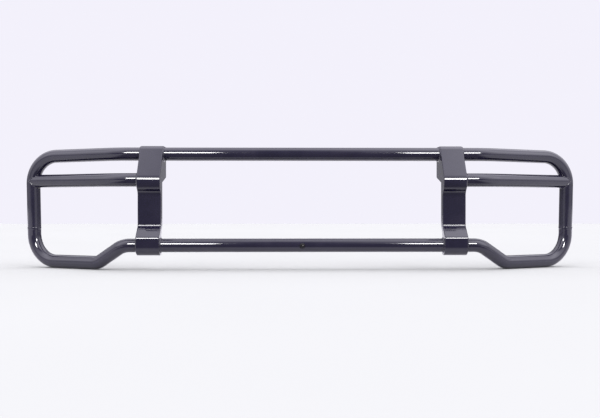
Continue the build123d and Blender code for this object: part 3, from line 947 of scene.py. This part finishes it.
brown = remap(tree, mottle, *BROWN_SPAN, 0.0, 1.0)
shade = blend_colours(tree, brown, OXIDE_DARK, OXIDE_BROWN)
# A bright patch off the centre of the socket: steel polished by the key, placed as a painted
# highlight
from_painted_highlight = add_node(tree, "ShaderNodeVectorMath", operation="DISTANCE")
feed(tree, from_painted_highlight.inputs[0], flat_place.outputs[0])
from_painted_highlight.inputs[1].default_value = PAINTED_HIGHLIGHT_OFF_CENTRE
polished_flank_and_highlight = remap(tree, from_painted_highlight.outputs["Value"], PAINTED_HIGHLIGHT_FULL_RADIUS, PAINTED_HIGHLIGHT_END_RADIUS, 1.0, 0.0)
rubbed_and_painted_highlight = maths(tree, "MULTIPLY", polished_flank_and_highlight, remap(tree, mottle, *POLISH_AND_HIGHLIGHT_SPAN, *POLISH_AND_HIGHLIGHT_SHARE))
feed(tree, shader.inputs["Base Color"], blend_colours(tree, rubbed_and_painted_highlight, shade, POLISH_AND_PAINTED_HIGHLIGHT))
feed(tree, shader.inputs["Metallic"], rubbed_and_painted_highlight)
feed(tree, shader.inputs["Roughness"], remap(tree, mottle, *NOISE_SPAN, *OXIDE_ROUGHNESS))
screw_bump = add_node(tree, "ShaderNodeBump")
screw_bump.inputs["Strength"].default_value = RING_STRENGTH
screw_bump.inputs["Distance"].default_value = RING_DEPTH
feed(tree, screw_bump.inputs["Height"], maths(tree, "ADD", rings, mottle))
feed(tree, shader.inputs["Normal"], screw_bump.outputs["Normal"])
finish_piece(
    "button_head_screw", softened_copy("centre_screw", SCREW_EDGE_BREAK), black_oxide,
    "centre_screw", even_normals=True,
)

# ---------------------------------------------------------------- backing rings
# A rolled strip of bare steel sits inside each hoop joint and lines the two tubes up. It keeps
# its turned rings, and the weld above it has left a straw and blue heat band round its middle.
BARE_STEEL = (0.42, 0.41, 0.40, 1)
HEAT_STRAW = (0.36, 0.25, 0.12, 1)
HEAT_BLUE = (0.12, 0.15, 0.26, 1)
HEAT_HALF_WIDTH = 0.006
STRAW_HALF_WIDTH = 0.003
HEAT_PATCH_SCALE = 160.0
HEAT_PATCH_SHIFT = 0.004
STEEL_MOTTLE_SCALE = 60.0
STEEL_ROUGHNESS = (0.25, 0.45)
TURNED_PITCH = 0.0005
TURNED_STRENGTH = 0.5
TURNED_DEPTH = 0.00002

bare_steel = new_material("bare_steel")
tree = bare_steel.node_tree
shader = principled(bare_steel)
shader.inputs["Metallic"].default_value = 1.0
where = object_coordinates(tree)
height = add_node(tree, "ShaderNodeSeparateXYZ")
feed(tree, height.inputs[0], where)
from_joint = maths(tree, "ABSOLUTE", maths(tree, "SUBTRACT", height.outputs["Z"], splice_z))
patches = noise_value(tree, where, HEAT_PATCH_SCALE, detail=3.0)
patchy = maths(tree, "MULTIPLY_ADD", patches, HEAT_PATCH_SHIFT, from_joint)
straw = remap(tree, patchy, STRAW_HALF_WIDTH, HEAT_HALF_WIDTH, 1.0, 0.0)
blue = remap(tree, patchy, 0.0, STRAW_HALF_WIDTH, 1.0, 0.0)
warm = blend_colours(tree, straw, BARE_STEEL, HEAT_STRAW)
feed(tree, shader.inputs["Base Color"], blend_colours(tree, blue, warm, HEAT_BLUE))
steel_mottle = noise_value(tree, where, STEEL_MOTTLE_SCALE, detail=3.0)
feed(tree, shader.inputs["Roughness"], remap(tree, steel_mottle, *NOISE_SPAN, *STEEL_ROUGHNESS))
turned = maths(tree, "SINE", maths(tree, "MULTIPLY", height.outputs["Z"], FULL_TURN / TURNED_PITCH))
ring_bump = add_node(tree, "ShaderNodeBump")
ring_bump.inputs["Strength"].default_value = TURNED_STRENGTH
ring_bump.inputs["Distance"].default_value = TURNED_DEPTH
feed(tree, ring_bump.inputs["Height"], turned)
feed(tree, shader.inputs["Normal"], ring_bump.outputs["Normal"])
for side_name in ("left", "right"):
    ring_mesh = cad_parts[f"backing_ring_{side_name}"].data
    ring_mesh.materials.clear()
    ring_mesh.materials.append(bare_steel)
